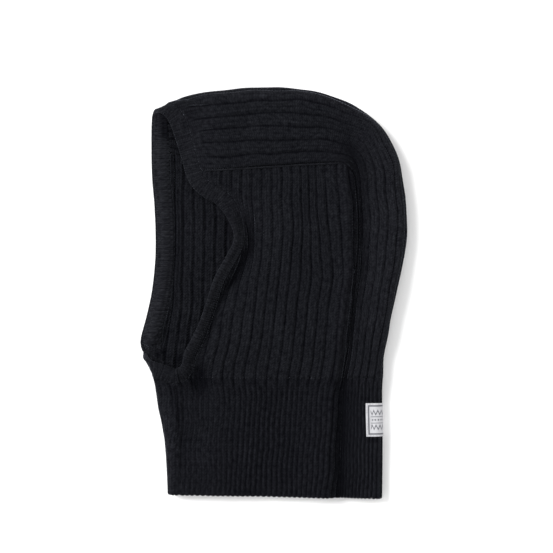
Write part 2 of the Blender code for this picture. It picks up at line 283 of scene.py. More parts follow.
def wide_rib(phase):
    """Broad two-wale rib with a narrow valley, per unit of phase."""
    c = hollow(phase)
    return 1 - 0.9 * c ** 5 - 0.1 * c ** 2 - 0.16 * bell(c, 0.13)


def fine_rib(phase):
    return 1 - hollow(phase) ** 2


def rib_line(y):
    track = knot_curve(RIB_TRACK)[::-1]
    return np.interp(y, track[:, 1], track[:, 0])


def side_phase(plan):
    """Rib count across the upper side panel, from the line of one rib."""
    x, y = plan[..., 0], plan[..., 1]
    across = x - rib_line(y)
    pitch = table(y, [(-200, 9.6), (-98, 9.8), (-80, 10.4), (-26, 10.1), (54, 9.5), (125, 9.3)])
    phase = across / pitch + 0.05 * waves(x * 0.4, y, 42, 11)
    squeeze = smooth(20, 46, across + 26) - 0.9 * smooth(46, 76, across + 26)
    phase = phase + 0.6 * squeeze * smooth(20, 75, y)
    return phase - 1.1 * bell(y - 42, 30) * smooth(0, 26, -39 - across)


def valley_shade_share(x, y, seed):
    """Share of a valley's painted shade: it varies from place to place."""
    return np.clip(0.96 + 0.045 * waves(x, y, 15, seed), 0.8, 1.05)


def fold_share(face):
    """How far inside a big fold of the upper layer each point of an outer face lies: the share of the fold's
    painted shade.
    """
    return sample(FOLD_SHADE, face[..., :2]) * smooth(6, 9, face[..., 2])


def deepen(deep, folded):
    """Painted valley shade with the painted shade of a fold laid over it."""
    return np.minimum(1.0, np.maximum(deep, folded) + 0.1 * np.minimum(deep, folded))


def in_fold(deep, face):
    """Painted valley shade of an outer face with the painted shade of the big folds added."""
    return deepen(deep, fold_share(face))


def in_pocket(deep, face):
    """Painted valley shade of an inner face with the painted shade of the pockets at the forehead and chin
    added.
    """
    return deepen(deep, sample(POCKET_SHADE, face[..., :2]))


def inside_phase(plan):
    """Rib count across the lower side panel."""
    x, y = plan[..., 0], plan[..., 1]
    bend = table(y, [(-80, -9), (-55, -7), (-20, -2.5), (20, -0.5), (60, 0), (140, 1)])
    return (x + 87 - bend) / 10.2 + 0.04 * waves(x * 0.4, y, 42, 12)


def slack(plan):
    """1 where the ribs stand up, less where the cloth is stretched flat round the back of the head."""
    return 1 - 0.85 * bell(plan[..., 0] - 80, 24) * bell(plan[..., 1] - 152, 24)


def rib_height(plan, seed):
    return WIDE_AMP * (1 + 0.12 * waves(plan[..., 0], plan[..., 1], 40, seed)) * slack(plan)


def grid_normals(grid, closed=False):
    down = np.gradient(grid, axis=0)
    if closed:
        across = np.roll(grid, -1, axis=1) - np.roll(grid, 1, axis=1)
    else:
        across = np.gradient(grid, axis=1)
    normals = np.cross(down, across)
    return normals / np.maximum(np.linalg.norm(normals, axis=-1), 1e-9)[..., None]


def rim(grid, sides, radius=1.9):
    """Thickness factor that rounds off the named sides of a grid: t, b are rows; l, r are columns."""
    rows, columns = arc(grid), arc(grid, 1)
    distance = {"t": rows, "b": rows[-1:] - rows, "l": columns, "r": columns[:, -1:] - columns}
    factor = np.ones(grid.shape[:2])
    for side in sides:
        near = np.clip(distance[side] / radius, 0.0, 1.0)
        factor = factor * np.sqrt(1 - (1 - near) ** 2)
    return np.maximum(factor, 0.05)


def make_mesh(name, vertices, faces, attributes, material, smooth_count):
    """Mesh object in metres with float point attributes; its first faces are smooth shaded."""
    mesh = bpy.data.meshes.new(name)
    faces = np.asarray(faces, np.int32)
    mesh.vertices.add(len(vertices))
    mesh.vertices.foreach_set("co", (np.asarray(vertices, np.float64) * 0.001).astype(np.float32).ravel())
    mesh.loops.add(faces.size)
    mesh.loops.foreach_set("vertex_index", faces.ravel())
    mesh.polygons.add(len(faces))
    mesh.polygons.foreach_set("loop_start", np.arange(0, faces.size, faces.shape[1], dtype=np.int32))
    mesh.polygons.foreach_set("use_smooth", np.arange(len(faces)) < smooth_count)
    mesh.update(calc_edges=True)
    for key, values in attributes.items():
        layer = mesh.attributes.new(key, "FLOAT", "POINT")
        layer.data.foreach_set("value", np.asarray(values, np.float32).ravel())
    mesh.materials.append(material)
    piece = bpy.data.objects.new(name, mesh)
    bpy.context.scene.collection.objects.link(piece)
    return piece


def sheet_faces(rows, columns, closed):
    """Quads of two facing grids and the walls that close them."""
    shift = rows * columns
    turns = columns if closed else columns - 1
    r, c = np.meshgrid(np.arange(rows - 1), np.arange(turns), indexing="ij")
    a, b = r * columns + c, r * columns + (c + 1) % columns
    top = np.stack([a, b, b + columns, a + columns], axis=-1).reshape(-1, 4)
    parts = [top, top[:, ::-1] + shift]

    def wall(a, b, flip):
        quads = np.stack([a, a + shift, b + shift, b], axis=-1)
        parts.append(quads[:, ::-1] if flip else quads)

    c = np.arange(turns)
    for row, flip in ((0, False), (rows - 1, True)):
        wall(row * columns + c, row * columns + (c + 1) % columns, flip)
    if not closed:
        r = np.arange(rows - 1)
        for column, flip in ((0, True), (columns - 1, False)):
            wall(r * columns + column, (r + 1) * columns + column, flip)
    return np.concatenate(parts)


def knit(name, face, outward, wale, course, reliefs, painted_shades, material, sides="", closed=False, radius=1.9,
         painted_highlight_places=0.0, rim_highlight=1.0):
    """A knit layer behind its outer face; outward turns the grid's normals away from the head.

    wale and course count ribs and rows for the yarn's material. reliefs hold the ribs' height of the outer
    and then the inner face; the argument after them holds the painted shade of their valleys and folds.
    sides names the rounded rims, and the last two arguments say where a painted highlight of light fibres
    goes, besides where the surface turns away from the top.
    """
    normals = outward * grid_normals(face, closed)
    factor = rim(face, sides, radius)[..., None]
    middle = face - normals * THICK / 2
    outer = middle + normals * factor * (THICK / 2 + reliefs[0][..., None])
    inner = middle - normals * factor * (THICK / 2 + reliefs[1][..., None])
    vertices = np.concatenate([outer.reshape(-1, 3), inner.reshape(-1, 3)])
    vertices[:, 2] = np.maximum(vertices[:, 2], GROUND)
    # Painted highlight where the surface turns away from the top, on the rounded rims and at the places
    # given.
    painted_highlight = smooth(0.75, 0.2, np.abs(normals[..., 2]))
    painted_highlight = np.maximum(np.maximum(painted_highlight, (1 - factor[..., 0] ** 2) * rim_highlight), painted_highlight_places)
    attributes = {"wale": np.stack([wale, wale + 0.5]), "course": np.stack([course, course]),
                  "hollow": np.stack(painted_shades), "painted_highlight": np.stack([painted_highlight, painted_highlight])}
    faces = sheet_faces(*face.shape[:2], closed)
    if outward < 0:
        faces = faces[:, ::-1]
    turns = face.shape[1] - (0 if closed else 1)
    return make_mesh(name, vertices, faces, attributes, material, 2 * (face.shape[0] - 1) * turns)


def lift(plan, height):
    return np.concatenate([plan, height[..., None]], axis=-1)


def fill(bottom, top, left, right):
    """Plan grid, rows from bottom to top, between four boundary curves."""
    rows = np.linspace(0.0, 1.0, len(left))[:, None, None]
    columns = np.linspace(0.0, 1.0, len(bottom))[None, :, None]
    ruled = (1 - rows) * bottom[None] + rows * top[None]
    sides = (1 - columns) * left[:, None] + columns * right[:, None]
    corners = (1 - rows) * ((1 - columns) * bottom[0] + columns * bottom[-1])
    corners = corners + rows * ((1 - columns) * top[0] + columns * top[-1])
    return ruled + sides - corners


# ---------------------------------------------------------------- materials
def node(tree, kind, **settings):
    made = tree.nodes.new(kind)
    for key, value in settings.items():
        setattr(made, key, value)
    return made


def maths(tree, operation, first, second=None, third=None):
    made = node(tree, "ShaderNodeMath", operation=operation)
    for index, value in enumerate((first, second, third)):
        if isinstance(value, (int, float)):
            made.inputs[index].default_value = value
        elif value is not None:
            tree.links.new(value, made.inputs[index])
    return made.outputs[0]


def attribute(tree, name):
    return node(tree, "ShaderNodeAttribute", attribute_name=name).outputs["Fac"]


def noise(tree, place, scale, detail):
    made = node(tree, "ShaderNodeTexNoise")
    made.inputs["Scale"].default_value = scale
    made.inputs["Detail"].default_value = detail
    tree.links.new(place, made.inputs["Vector"])
    return made.outputs["Fac"]


def add_bump(tree, height, depth):
    """Bump from a height of about 0 to 1; depth in millimetres."""
    bump = node(tree, "ShaderNodeBump")
    bump.inputs["Strength"].default_value = 1.0
    bump.inputs["Distance"].default_value = depth * 0.001
    tree.links.new(height, bump.inputs["Height"])
    tree.links.new(bump.outputs["Normal"], tree.nodes["Principled BSDF"].inputs["Normal"])


def principled(name, roughness, specular):
    """A new material, its node tree and its shader."""
    material = bpy.data.materials.new(name)
    material.use_nodes = True
    shader = material.node_tree.nodes["Principled BSDF"]
    shader.inputs["Roughness"].default_value = roughness
    shader.inputs["Specular IOR Level"].default_value = specular
    return material, material.node_tree, shader


def plain(name, color, roughness):
    material, _, shader = principled(name, roughness, 0.2)
    shader.inputs["Base Color"].default_value = (*color, 1.0)
    return material


def wool(name, color, wales_per_rib, stitch_depth, valley_power=5.0, sheen=0.14):
    """Knitted yarn: V stitches that follow the ribs, plied yarn, fuzz and slight shade changes; painted
    shade and highlights.
    """
    material, tree, shader = principled(name, 0.92, 0.04)
    shader.inputs["Sheen Weight"].default_value = sheen
    shader.inputs["Sheen Roughness"].default_value = 0.22
    shader.inputs["Sheen Tint"].default_value = (0.62, 0.67, 0.80, 1.0)
    wale, course = attribute(tree, "wale"), attribute(tree, "course")
    column = maths(tree, "FRACT", maths(tree, "MULTIPLY", wale, wales_per_rib))
    side = maths(tree, "ABSOLUTE", maths(tree, "MULTIPLY_ADD", column, 2.0, -1.0))
    climb = maths(tree, "FRACT", maths(tree, "MULTIPLY_ADD", side, -0.62, course))
    loop = maths(tree, "ABSOLUTE", maths(tree, "MULTIPLY_ADD", climb, 2.0, -1.0))
    plump = maths(tree, "SUBTRACT", 1.0, maths(tree, "MULTIPLY", loop, loop))
    across = maths(tree, "SUBTRACT", side, 0.52)
    strand = maths(tree, "MULTIPLY", maths(tree, "MULTIPLY", across, across), 3.2)
    stitch = maths(tree, "MULTIPLY", plump, maths(tree, "SUBTRACT", 1.0, strand))
    place = node(tree, "ShaderNodeTexCoord").outputs["Object"]
    fibre, patch = noise(tree, place, 1500.0, 3.0), noise(tree, place, 55.0, 4.0)
    add_bump(tree, maths(tree, "MULTIPLY_ADD", fibre, 0.55, stitch), stitch_depth)
    # Painted shade from the hollow attribute: darkest in the rib valleys, the folds and the pockets.
    deep = maths(tree, "POWER", maths(tree, "MAXIMUM", attribute(tree, "hollow"), 0.0), valley_power)
    thread = node(tree, "ShaderNodeCombineXYZ")
    tree.links.new(maths(tree, "MULTIPLY", wale, 2.3 * wales_per_rib), thread.inputs[0])
    tree.links.new(maths(tree, "MULTIPLY", course, 0.55), thread.inputs[1])
    blotch = noise(tree, thread.outputs[0], 1.0, 3.0)
    gap = maths(tree, "POWER", side, 6.0)
    # Painted highlight: speckled light fibres where the mesh marks the rims and lit places.
    raised = maths(tree, "POWER", maths(tree, "MULTIPLY", fibre, 1.6), 3.0)
    raised = maths(tree, "MULTIPLY", attribute(tree, "painted_highlight"), raised)
    # The stitches are painted darker where they dip between their loops: painted shade.
    shade = maths(tree, "MULTIPLY_ADD", stitch, 0.30, 0.72)
    for value, gain, base in ((deep, -0.66, 1.0),       # painted shade between the ribs and in the folds and pockets
                              (patch, 0.6, 0.7),        # shade changes from place to place
                              (gap, -0.35, 1.0),        # painted shade in the grooves between the columns of stitches
                              (blotch, 2.9, -0.40),     # uneven yarn along its own length
                              (raised, 1.8, 1.0)):      # painted highlight of light fibres at the outline, the rims and lit places
        shade = maths(tree, "MULTIPLY", shade, maths(tree, "MULTIPLY_ADD", value, gain, base))
    mix = node(tree, "ShaderNodeMix", data_type="RGBA", blend_type="MULTIPLY")
    mix.inputs["Factor"].default_value = 1.0
    mix.inputs[6].default_value = (*color, 1.0)
    # The blue channel is darkened less, so darker yarn and the painted shade turn bluish.
    tint = node(tree, "ShaderNodeCombineColor")
    blue = maths(tree, "MULTIPLY_ADD", shade, 0.9, 0.1)
    for channel, level in enumerate((shade, shade, blue)):
        tree.links.new(level, tint.inputs[channel])
    tree.links.new(tint.outputs["Color"], mix.inputs[7])
    tree.links.new(mix.outputs[2], shader.inputs["Base Color"])
    return material


WIDE_KNIT = wool("wide_rib_wool", (0.0068, 0.0072, 0.0092), 2.0, 0.55)
FINE_KNIT = wool("fine_rib_wool", (0.0057, 0.0060, 0.0079), 1.0, 0.45, 2.2)
BAND_KNIT = wool("band_wool", (0.0074, 0.0078, 0.0098), 1.0, 0.5)
SEAM_YARN = wool("seam_yarn", (0.0085, 0.0089, 0.0110), 1.0, 0.3, 1.5, 0.05)


# ---------------------------------------------------------------- face band
NEAR_COUNT, FAR_COUNT, TURN_COUNT = 700, 500, 40        # stations of its near edge, far edge and turns
CHIN_OUT, FOREHEAD_OUT = (-0.65, 0.0), (-0.5, 0.85)     # which way it bulges at its turns
JOIN_STATION = 651


def band_lines(shares, stations):
    """Near part of the band: plan points at arc-length shares of its width, per station."""
    edge = spline(NEAR_EDGE, stations)
    normals = left_normals(edge)
    reach = np.linspace(0.0, 26.0, 131)
    plan = edge[:, None] + normals[:, None] * reach[None, :, None]
    heights = sample(UPPER, plan)
    steps = np.hypot(np.diff(reach)[None], np.diff(heights, axis=1))
    length = np.concatenate([np.zeros((stations, 1)), np.cumsum(steps, axis=1)], axis=1)
    lines = []
    for share in shares:
        across = np.array([np.interp(share * BAND, row, reach) for row in length])
        lines.append(edge + normals * across[:, None])
    return np.array(lines)


def far_line(share, count):
    line = (1 - share) * knot_curve(FAR_EDGE) + share * knot_curve(FAR_SEAM)
    fractions = np.linspace(0.0, 1.0, count) * (len(line) - 1)
    return np.stack([np.interp(fractions, np.arange(len(line)), line[:, axis]) for axis in (0, 1)], axis=1)


def band_turn(first, last, outward):
    """The band where it turns from one layer to the other: the points between first and last."""
    angles = np.linspace(-np.pi / 2, np.pi / 2, TURN_COUNT + 2)[1:-1]
    share = np.linspace(0.0, 1.0, TURN_COUNT + 2)[1:-1, None]
    middle, radius = (first[2] + last[2]) / 2, (last[2] - first[2]) / 2
    plan = (1 - share) * first[:2] + share * last[:2]
    plan = plan + np.array(outward) * abs(radius) * np.cos(angles)[:, None]
    return lift(plan, middle + radius * np.sin(angles))


def around(loops, width):
    """Closed rows smoothed along their length."""
    reach = int(2.2 * width)
    kernel = bell(np.arange(-reach, reach + 1), width)
    wrapped = np.concatenate([loops[:, -reach:], loops, loops[:, :reach]], axis=1)
    return sum(weight * wrapped[:, i:i + loops.shape[1]] for i, weight in enumerate(kernel / kernel.sum()))


def band_grid(shares):
    """Closed surface grid round the face opening: [share, station, xyz].

    Its stations run down the near edge, round the chin, up the far edge and round the forehead.
    """
    near_lines = band_lines(shares, NEAR_COUNT)
    loops = []
    for share, near in zip(shares, near_lines):
        near = lift(near, sample(UPPER, near))
        far = far_line(share, FAR_COUNT)[::-1]
        far = lift(far, sample(LOWER, far))
        chin, forehead = band_turn(near[-1], far[0], CHIN_OUT), band_turn(far[-1], near[0], FOREHEAD_OUT)
        loops.append(np.concatenate([near, chin, far, forehead]))
    loops = np.array(loops)
    station = np.arange(loops.shape[1])
    chin, forehead = NEAR_COUNT + TURN_COUNT // 2, len(station) - TURN_COUNT // 2
    soft = bell(station - chin, 30) + 0.5 * bell(station - forehead, 25)
    return around(loops, 4.5) * (1 - soft[:, None]) + around(loops, 14) * soft[:, None]


def make_band():
    shares = np.concatenate([[0.0, 0.015, 0.04, 0.08, 0.13], np.linspace(0.17, 1.0, 24)])
    face = band_grid(shares)
    middle = face[len(shares) // 2]
    along = arc(np.concatenate([middle, middle[:1]]))
    ribs = round(along[-1] / BAND_PITCH)
    phase = along[:-1] / along[-1] * ribs
    wale = np.broadcast_to(phase, face.shape[:2]) + 0.10 * waves(face[..., 0], face[..., 1], 30, 21)
    station, from_edge = np.arange(face.shape[1]), shares[:, None] * BAND
    flat = np.interp(station, [0, 300, 400, 640, 700, 760], [0.25, 0.25, 0.4, 0.4, 1.0, 0.6])
    # Where a painted highlight goes: along the crest of the near part, and the outline from the chin round
    # the far part.
    crest = np.interp(station, [280, 330, 570, 620], [0, 1, 1, 0])
    outline = np.interp(station, [700, 725, 1200, 1270], [0, 1, 1, 0.3])
    chains = fine_rib(shares[:, None] * 3.4 + 0.2 + 0.25 * fine_rib(wale))
    outer = (0.5 * fine_rib(wale) + 0.22 * chains) * flat * (1 - 0.9 * fold_share(face) ** 3)
    outer = outer + 0.5 * bell(from_edge - 1.5, 1.1)
    inner = 0.45 * fine_rib(wale + 0.5) + 0.6 * chains
    # Painted shade in the band's rib valleys, with that of the folds and pockets added below.
    dark = 0.75 * hollow(wale) * (1 - 0.5 * chains)
    piece = knit("face_band", face, -1.0, wale, arc(face) / COURSE, (outer, inner),
                 (in_fold(dark * flat ** 0.3, face), in_pocket(dark, face)), BAND_KNIT, sides="t",
                 closed=True, radius=2.0, rim_highlight=outline,
                 painted_highlight_places=np.maximum(0.35 * crest * bell(from_edge - 4.5, 4), 0.32 * outline))
    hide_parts("face_band")
    return piece, face


# ---------------------------------------------------------------- panels
def panel_plan(seam, left, columns):
    """Plan grid of a side panel between its free side and its seam, over the top and down the back."""
    corner = int(np.argmax(seam[:, 0] + seam[:, 1]))
    top = resample(np.vstack([left[-1:], seam[6:corner + 1]]), columns)
    right = resample(seam[corner:][::-1], len(left))
    right[0, 1] = PANEL_BASE
    return fill(np.linspace(left[0], right[0], columns), top, left, right)


def make_left_panel():
    seam = offset(spline(PANEL_SEAM, 700), -SEAM_GAP)
    edge = band_lines([1.0], 900)[0]
    below = int(np.argmax(edge[:, 1] < PANEL_BASE))
    edge = edge[:below + 1][edge[:below + 1, 1] < seam[0, 1] + 1.0][::-1]
    left = resample(edge, 170)
    left[0, 1] = PANEL_BASE
    plan = panel_plan(seam, left, 230)
    face = lift(plan, sample(UPPER, plan))
    wale = side_phase(plan)
    x, y = plan[..., 0], plan[..., 1]
    course = y / COURSE + 0.4 * waves(x, y, 60, 32)
    fade = 1 - smooth(10, 0, arc(face, 1)) * smooth(45, 80, y)
    relief = rib_height(plan, 31) * (1 - 0.55 * (1 - fade)) * (fade * wide_rib(wale) + (1 - fade))
    relief = relief * (1 - 0.6 * fold_share(face) ** 3)
    # Painted shade in the rib valleys, with that of the big folds added.
    dark = in_fold(hollow(wale) * fade * valley_shade_share(x, y, 34), face)
    piece = knit("left_side_panel", face, -1.0, wale, course, (relief, 1.5 * wide_rib(wale + 0.5)),
                 (dark, hollow(wale + 0.5)), WIDE_KNIT, sides="r", radius=1.0)
    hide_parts("left_side_panel")
    return piece


def make_right_panel():
    seam = offset(spline(LOWER_SEAM, 700), -SEAM_GAP)
    far = far_line(1.0, 600)
    kept = far[(far[:, 1] < seam[0, 1]) & (far[:, 1] > -66)]
    left = resample(np.vstack([[(-103.0, PANEL_BASE)], kept[::-1]]), 130)
    plan = panel_plan(seam, left, 270)
    face = lift(plan, sample(LOWER, plan))
    wale = inside_phase(plan)
    relief = rib_height(plan, 33) * wide_rib(wale)
    # Painted shade in the rib valleys, with that of the pockets at the forehead and chin added.
    dark = in_pocket(hollow(wale) * valley_shade_share(plan[..., 0], plan[..., 1], 35), plan)
    piece = knit("right_side_panel", face, 1.0, wale, plan[..., 1] / COURSE,
                 (1.1 * wide_rib(wale + 0.5), relief), (hollow(wale + 0.5), dark), WIDE_KNIT, sides="r")
    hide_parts("right_side_panel")
    return piece


def half_row(point, goal, fractions, side):
    """One row from a fold (fraction 0) to a seam (1)."""
    width = np.linalg.norm(goal - point)
    direction = (goal - point) / width
    inside = point + direction * 12.0
    radius = min((sample(UPPER, inside) - sample(LOWER, inside)) / 2, width * 0.8)
    total = radius * np.pi / 2 + width - radius
    length = fractions * total
    angle = np.minimum(length / radius, np.pi / 2)
    distance = radius * (1 - np.cos(angle)) + np.maximum(0.0, length - radius * np.pi / 2)
    plan = point + direction * distance[:, None]
    high, under = sample(UPPER, plan), sample(LOWER, plan)
    return lift(plan, (high + under) / 2 + side * np.sin(angle) * (high - under) / 2)


def band_runs(face):
    """The band's seam in four runs: near, round the chin, far, round the forehead."""
    return np.split(face[-1], np.cumsum([NEAR_COUNT, TURN_COUNT, FAR_COUNT]))


def make_crown(band_face):
    count, columns = 175, 116
    fold = spline(CROWN_FOLD, count)
    share, fractions = np.linspace(0.0, 1.0, count), np.linspace(0.0, 1.0, columns)
    near, _, far, forehead = band_runs(band_face)
    far = far[::-1]
    half_turn = TURN_COUNT // 2
    starts = (np.vstack([forehead[half_turn:], near[near[:, 1] > PANEL_SEAM[0][1]]]),
              np.vstack([forehead[:half_turn + 1][::-1], far[far[:, 1] > LOWER_SEAM[0][1]]]))
    follow = 1 - smooth(0, 5 + 14 * smooth(0, 0.3, fractions)[None], np.arange(count)[:, None])
    halves, phases = [], []
    power = 1.0 - 0.2 * smooth(0.45, 0.62, share)[:, None]
    for knots, start, side in ((PANEL_SEAM, starts[0], 1), (LOWER_SEAM, starts[1], -1)):
        line = offset(spline(knots, 900), SEAM_GAP)
        corner = np.argmax(line[:, 0] + line[:, 1]) / (len(line) - 1)
        spread = table(share, [(0.0, 0.0), (0.40, corner - 0.03), (0.60, corner + 0.03), (1.0, 1.0)])
        spread = np.pad(spread, 12, mode="reflect", reflect_type="odd")
        goals = at(line, np.convolve(spread, np.ones(25) / 25, mode="valid") * arc(line)[-1])
        rows = np.array([half_row(point, goal, fractions, side) for point, goal in zip(fold, goals)])
        first = at(start, fractions * arc(start)[-1])
        halves.append(rows + follow[..., None] * (first - rows[0])[None])
        phases.append(GUSSET_RIBS * (1 - fractions[None]) ** power)
    face = np.concatenate([halves[0][:, ::-1], halves[1][:, 1:]], axis=1)
    phase = np.concatenate([phases[0][:, ::-1], 2 * GUSSET_RIBS - phases[1][:, 1:]], axis=1)
    x, y = face[..., 0], face[..., 1]
    wale = phase + 0.06 * waves(x, y, 45, 41)
    course = arc(fold)[:, None] / COURSE + 0.4 * waves(x, y, 60, 42)
    fade = smooth(1, 13, arc(face))
    relief = rib_height(face, 43) * (1 - 0.35 * smooth(6, 2, face[..., 2])) * (1 - 0.75 * (1 - fade))
    relief = relief * (fade * wide_rib(wale) + (1 - fade)) * (1 - 0.4 * fold_share(face) ** 3)
    # Painted shade in the rib valleys, with that of the folds added below; a painted highlight along the
    # back fold and the top.
    dark = hollow(wale) * fade * valley_shade_share(x, y, 44) * slack(face) ** 0.2
    piece = knit("crown_back_panel", face, 1.0, wale, course, (relief, 1.5 * wide_rib(wale + 0.5)),
                 (in_fold(dark, face), hollow(wale + 0.5)), WIDE_KNIT, sides="lr", radius=1.0,
                 painted_highlight_places=0.3 * smooth(82, 98, x) + 0.2 * smooth(102, 112, x) + 0.15 * smooth(174, 184, y))
    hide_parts("crown_back_panel")
    return piece


def neck_ring(share, rear, fore, count):
    """One row round the neck: the points, and the wide-rib count at each of them."""
    width = rear[0] - fore[0]
    valley = knot_curve(VALLEY)[::-1]
    radii = []
    for x in (rear[0] - FOLD_REACH, fore[0] + FOLD_REACH):
        spot = np.array([x, (rear[1] + fore[1]) / 2])
        radii.append(float(sample(UPPER, spot) - sample(LOWER, spot)) / 2)
    back_radius, front_radius = radii
    total = width + (math.pi / 2 - 1) * (back_radius + front_radius)
    length = np.linspace(0.0, total, count)
    angle_back = np.minimum(length / back_radius, math.pi / 2)
    angle_front = np.minimum((total - length) / front_radius, math.pi / 2)
    flat = length - back_radius * (math.pi / 2 - 1)
    past = length > total - front_radius * math.pi / 2
    distance = np.where(length < back_radius * math.pi / 2, back_radius * (1 - np.cos(angle_back)), flat)
    distance = np.where(past, width - front_radius * (1 - np.cos(angle_front)), distance)
    sines = np.sin(angle_back) * np.sin(angle_front)
    ring, counts = [], []
    for side in (1, -1):
        y = (1 - share) * PANEL_BASE + share * (HEM_BACK + HEM_RISE * distance / width)
        plan = np.stack([rear[0] - distance, y], axis=1)
        high, under = sample(UPPER, plan), sample(LOWER, plan)
        ring.append(lift(plan, (high + under) / 2 + side * sines * (high - under) / 2))
        flat_x = rear[0] - flat
        strip = np.interp(0.0, np.interp(y, valley[:, 1], valley[:, 0]) - flat_x, length)
        gusset = GUSSET_RIBS * np.maximum(0.0, 1 - length / strip) ** 0.8
        counts.append(np.where(length < strip, gusset, side_phase(np.stack([flat_x, y], axis=1))))
    turn = counts[0][-1]
    lower = np.where(length < strip, -counts[1], turn + counts[1][-1] - counts[1])
    return np.concatenate([ring[0], ring[1][-2:0:-1]]), np.concatenate([counts[0], lower[-2:0:-1]])


def neck_top(ring, band_face):
    """The neck's top row, moved on to the band's seam where it passes the chin."""
    near, chin, far, _ = band_runs(band_face)
    count = len(ring) // 2 + 1
    near = near[near[:, 1] < PANEL_BASE]
    far = far[(far[:, 1] < PANEL_BASE + 16) & (np.arange(len(far)) < len(far) // 3)]
    half_turn = TURN_COUNT // 2
    upper, lower = np.vstack([near, chin[:half_turn + 1]]), np.vstack([chin[half_turn:], far])
    top = ring.copy()
    first = int(np.argmax(ring[:count, 0] < near[0, 0]))
    top[first:count] = at(upper, np.linspace(0, 1, count - first) * arc(upper)[-1])
    last = int(np.argmax(ring[count:, 0] > -101.0)) + count
    lower = np.vstack([lower, ring[last:last + 1]])
    top[count - 1:last] = at(lower, np.linspace(0, 1, last - count + 2)[:-1] * arc(lower)[-1])
    return top


def make_neck(band_face):
    rows = np.concatenate([np.linspace(0.0, 0.95, 34), [0.965, 0.98, 0.99, 0.996, 1.0]])
    back, front = spline(NECK_BACK, 400), spline(NECK_FRONT, 400)
    rears, fores = at(back, rows * arc(back)[-1]), at(front, rows * arc(front)[-1])
    rings = [neck_ring(share, rear, fore, 560) for share, rear, fore in zip(rows, rears, fores)]
    face, phase = np.array([ring[0] for ring in rings]), np.array([ring[1] for ring in rings])
    follow = 1 - smooth(0.0, 0.3, rows)
    face = face + follow[:, None, None] * (neck_top(face[0], band_face) - face[0])[None]
    face[0, :, 1] += 0.15 * smooth(-82, -74, face[0, :, 0])
    x, y = face[..., 0], face[..., 1]
    change = smooth(-82, -93, y)
    fine = 2 * phase + 0.06 * waves(x, y, 40, 51)
    rim_share = smooth(15, 10, x - fores[:, :1])
    calm = (1 - 0.5 * bell(x + 68, 20) * smooth(8, 11, face[..., 2])) * (1 - 0.6 * rim_share)
    relief = (1 - change) * rib_height(face, 31) * wide_rib(phase)
    relief = relief + change * (FINE_AMP * calm * (fine_rib(fine) - 1) + FINE_AMP + 0.5)
    relief = relief * (1 - 0.8 * smooth(-98, -106, x) * bell(y + 79, 9))
    relief = relief * (1 - 0.8 * fold_share(face) ** 5)
    inside = (1 - change) * 1.5 * wide_rib(phase + 0.5) + change * 0.8 * fine_rib(fine + 0.5)
    # Painted shade in the rib valleys, with that of the folds added; a painted highlight at the back fold
    # and the front rim goes in below.
    dark = ((1 - change) * hollow(phase) + change * calm * hollow(fine)) * valley_shade_share(x, y, 54)
    painted_shades = (in_fold(dark, face), hollow(fine + 0.5))
    face[-5:, :, 1] -= 0.9 * fine_rib(fine[-5:]) * np.linspace(0.1, 1.0, 5)[:, None]
    piece = knit("neck_rib", face, -1.0, fine, y / COURSE, (relief, inside), painted_shades, FINE_KNIT, sides="b",
                 closed=True, radius=1.8, painted_highlight_places=0.3 * smooth(74, 86, x) + 0.3 * rim_share)
    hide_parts("neck_rib")
    return piece


# ---------------------------------------------------------------- seams
def cord_mesh(name, lines, radius, pitch, material, closed=False, sides=10):
    """Two-ply cord along each line (points and the way up at each point), all in one mesh."""
    vertices, faces, turns, lengths, folded = [], [], [], [], []
    base = 0
    for points, ups in lines:
        along = np.gradient(points, axis=0)
        along /= np.linalg.norm(along, axis=1)[:, None]
        across = np.cross(along, ups)
        across /= np.linalg.norm(across, axis=1)[:, None]
        lift_way = np.cross(across, along)
        run = arc(points)
        angle = np.arange(sides) * 2 * math.pi / sides
        ply = radius * (0.78 + 0.3 * np.abs(np.cos(angle[None] - math.pi * run[:, None] / pitch)))
        if not closed:
            near_end = np.minimum(run, run[-1] - run) / radius
            ply = ply * np.sqrt(1 - (1 - np.clip(near_end, 0, 1)) ** 2 * 0.96)[:, None]
        rings = points[:, None] + ply[..., None] * (np.cos(angle)[None, :, None] * across[:, None]
                                                    + np.sin(angle)[None, :, None] * lift_way[:, None])
        count = len(points)
        r, c = np.meshgrid(np.arange(count if closed else count - 1), np.arange(sides), indexing="ij")
        a, b = r * sides + c, r * sides + (c + 1) % sides
        under = ((r + 1) % count - r) * sides
        quads = np.stack([a, b, b + under, a + under], axis=-1).reshape(-1, 4)
        if not closed:
            cap = np.array([[i, i + 1, sides - 2 - i, sides - 1 - i] for i in range(sides // 2 - 1)])
            quads = np.concatenate([quads, cap[:, ::-1], cap + (count - 1) * sides])
        faces.append(quads + base)
        base += count * sides
        vertices.append(rings.reshape(-1, 3))
        # Painted shade where the cord runs through a big fold.
        folded.append(np.repeat(fold_share(points), sides))
        turns.append(np.broadcast_to(angle / math.pi, (count, sides)).ravel())
        lengths.append(np.broadcast_to(run[:, None] / pitch, (count, sides)).ravel())
    attributes = {"wale": np.concatenate(turns), "course": np.concatenate(lengths),
                  "hollow": np.concatenate(folded)}
    faces = np.concatenate(faces)
    piece = make_mesh(name, np.concatenate(vertices), faces, attributes, material, len(faces))
    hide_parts(name)
    return piece


def way_out(points, side):
    """Outward direction of a layer at plan points: up for the upper layer, down for the lower."""
    field = UPPER if side > 0 else LOWER
    plan = points[:, :2]
    slope_x, slope_y = ((sample(field, plan + step) - sample(field, plan - step)) / 3.0
                        for step in (np.array([1.5, 0.0]), np.array([0.0, 1.5])))
    ups = side * np.stack([-slope_x, -slope_y, np.ones(len(plan))], axis=1)
    return ups / np.linalg.norm(ups, axis=1)[:, None]


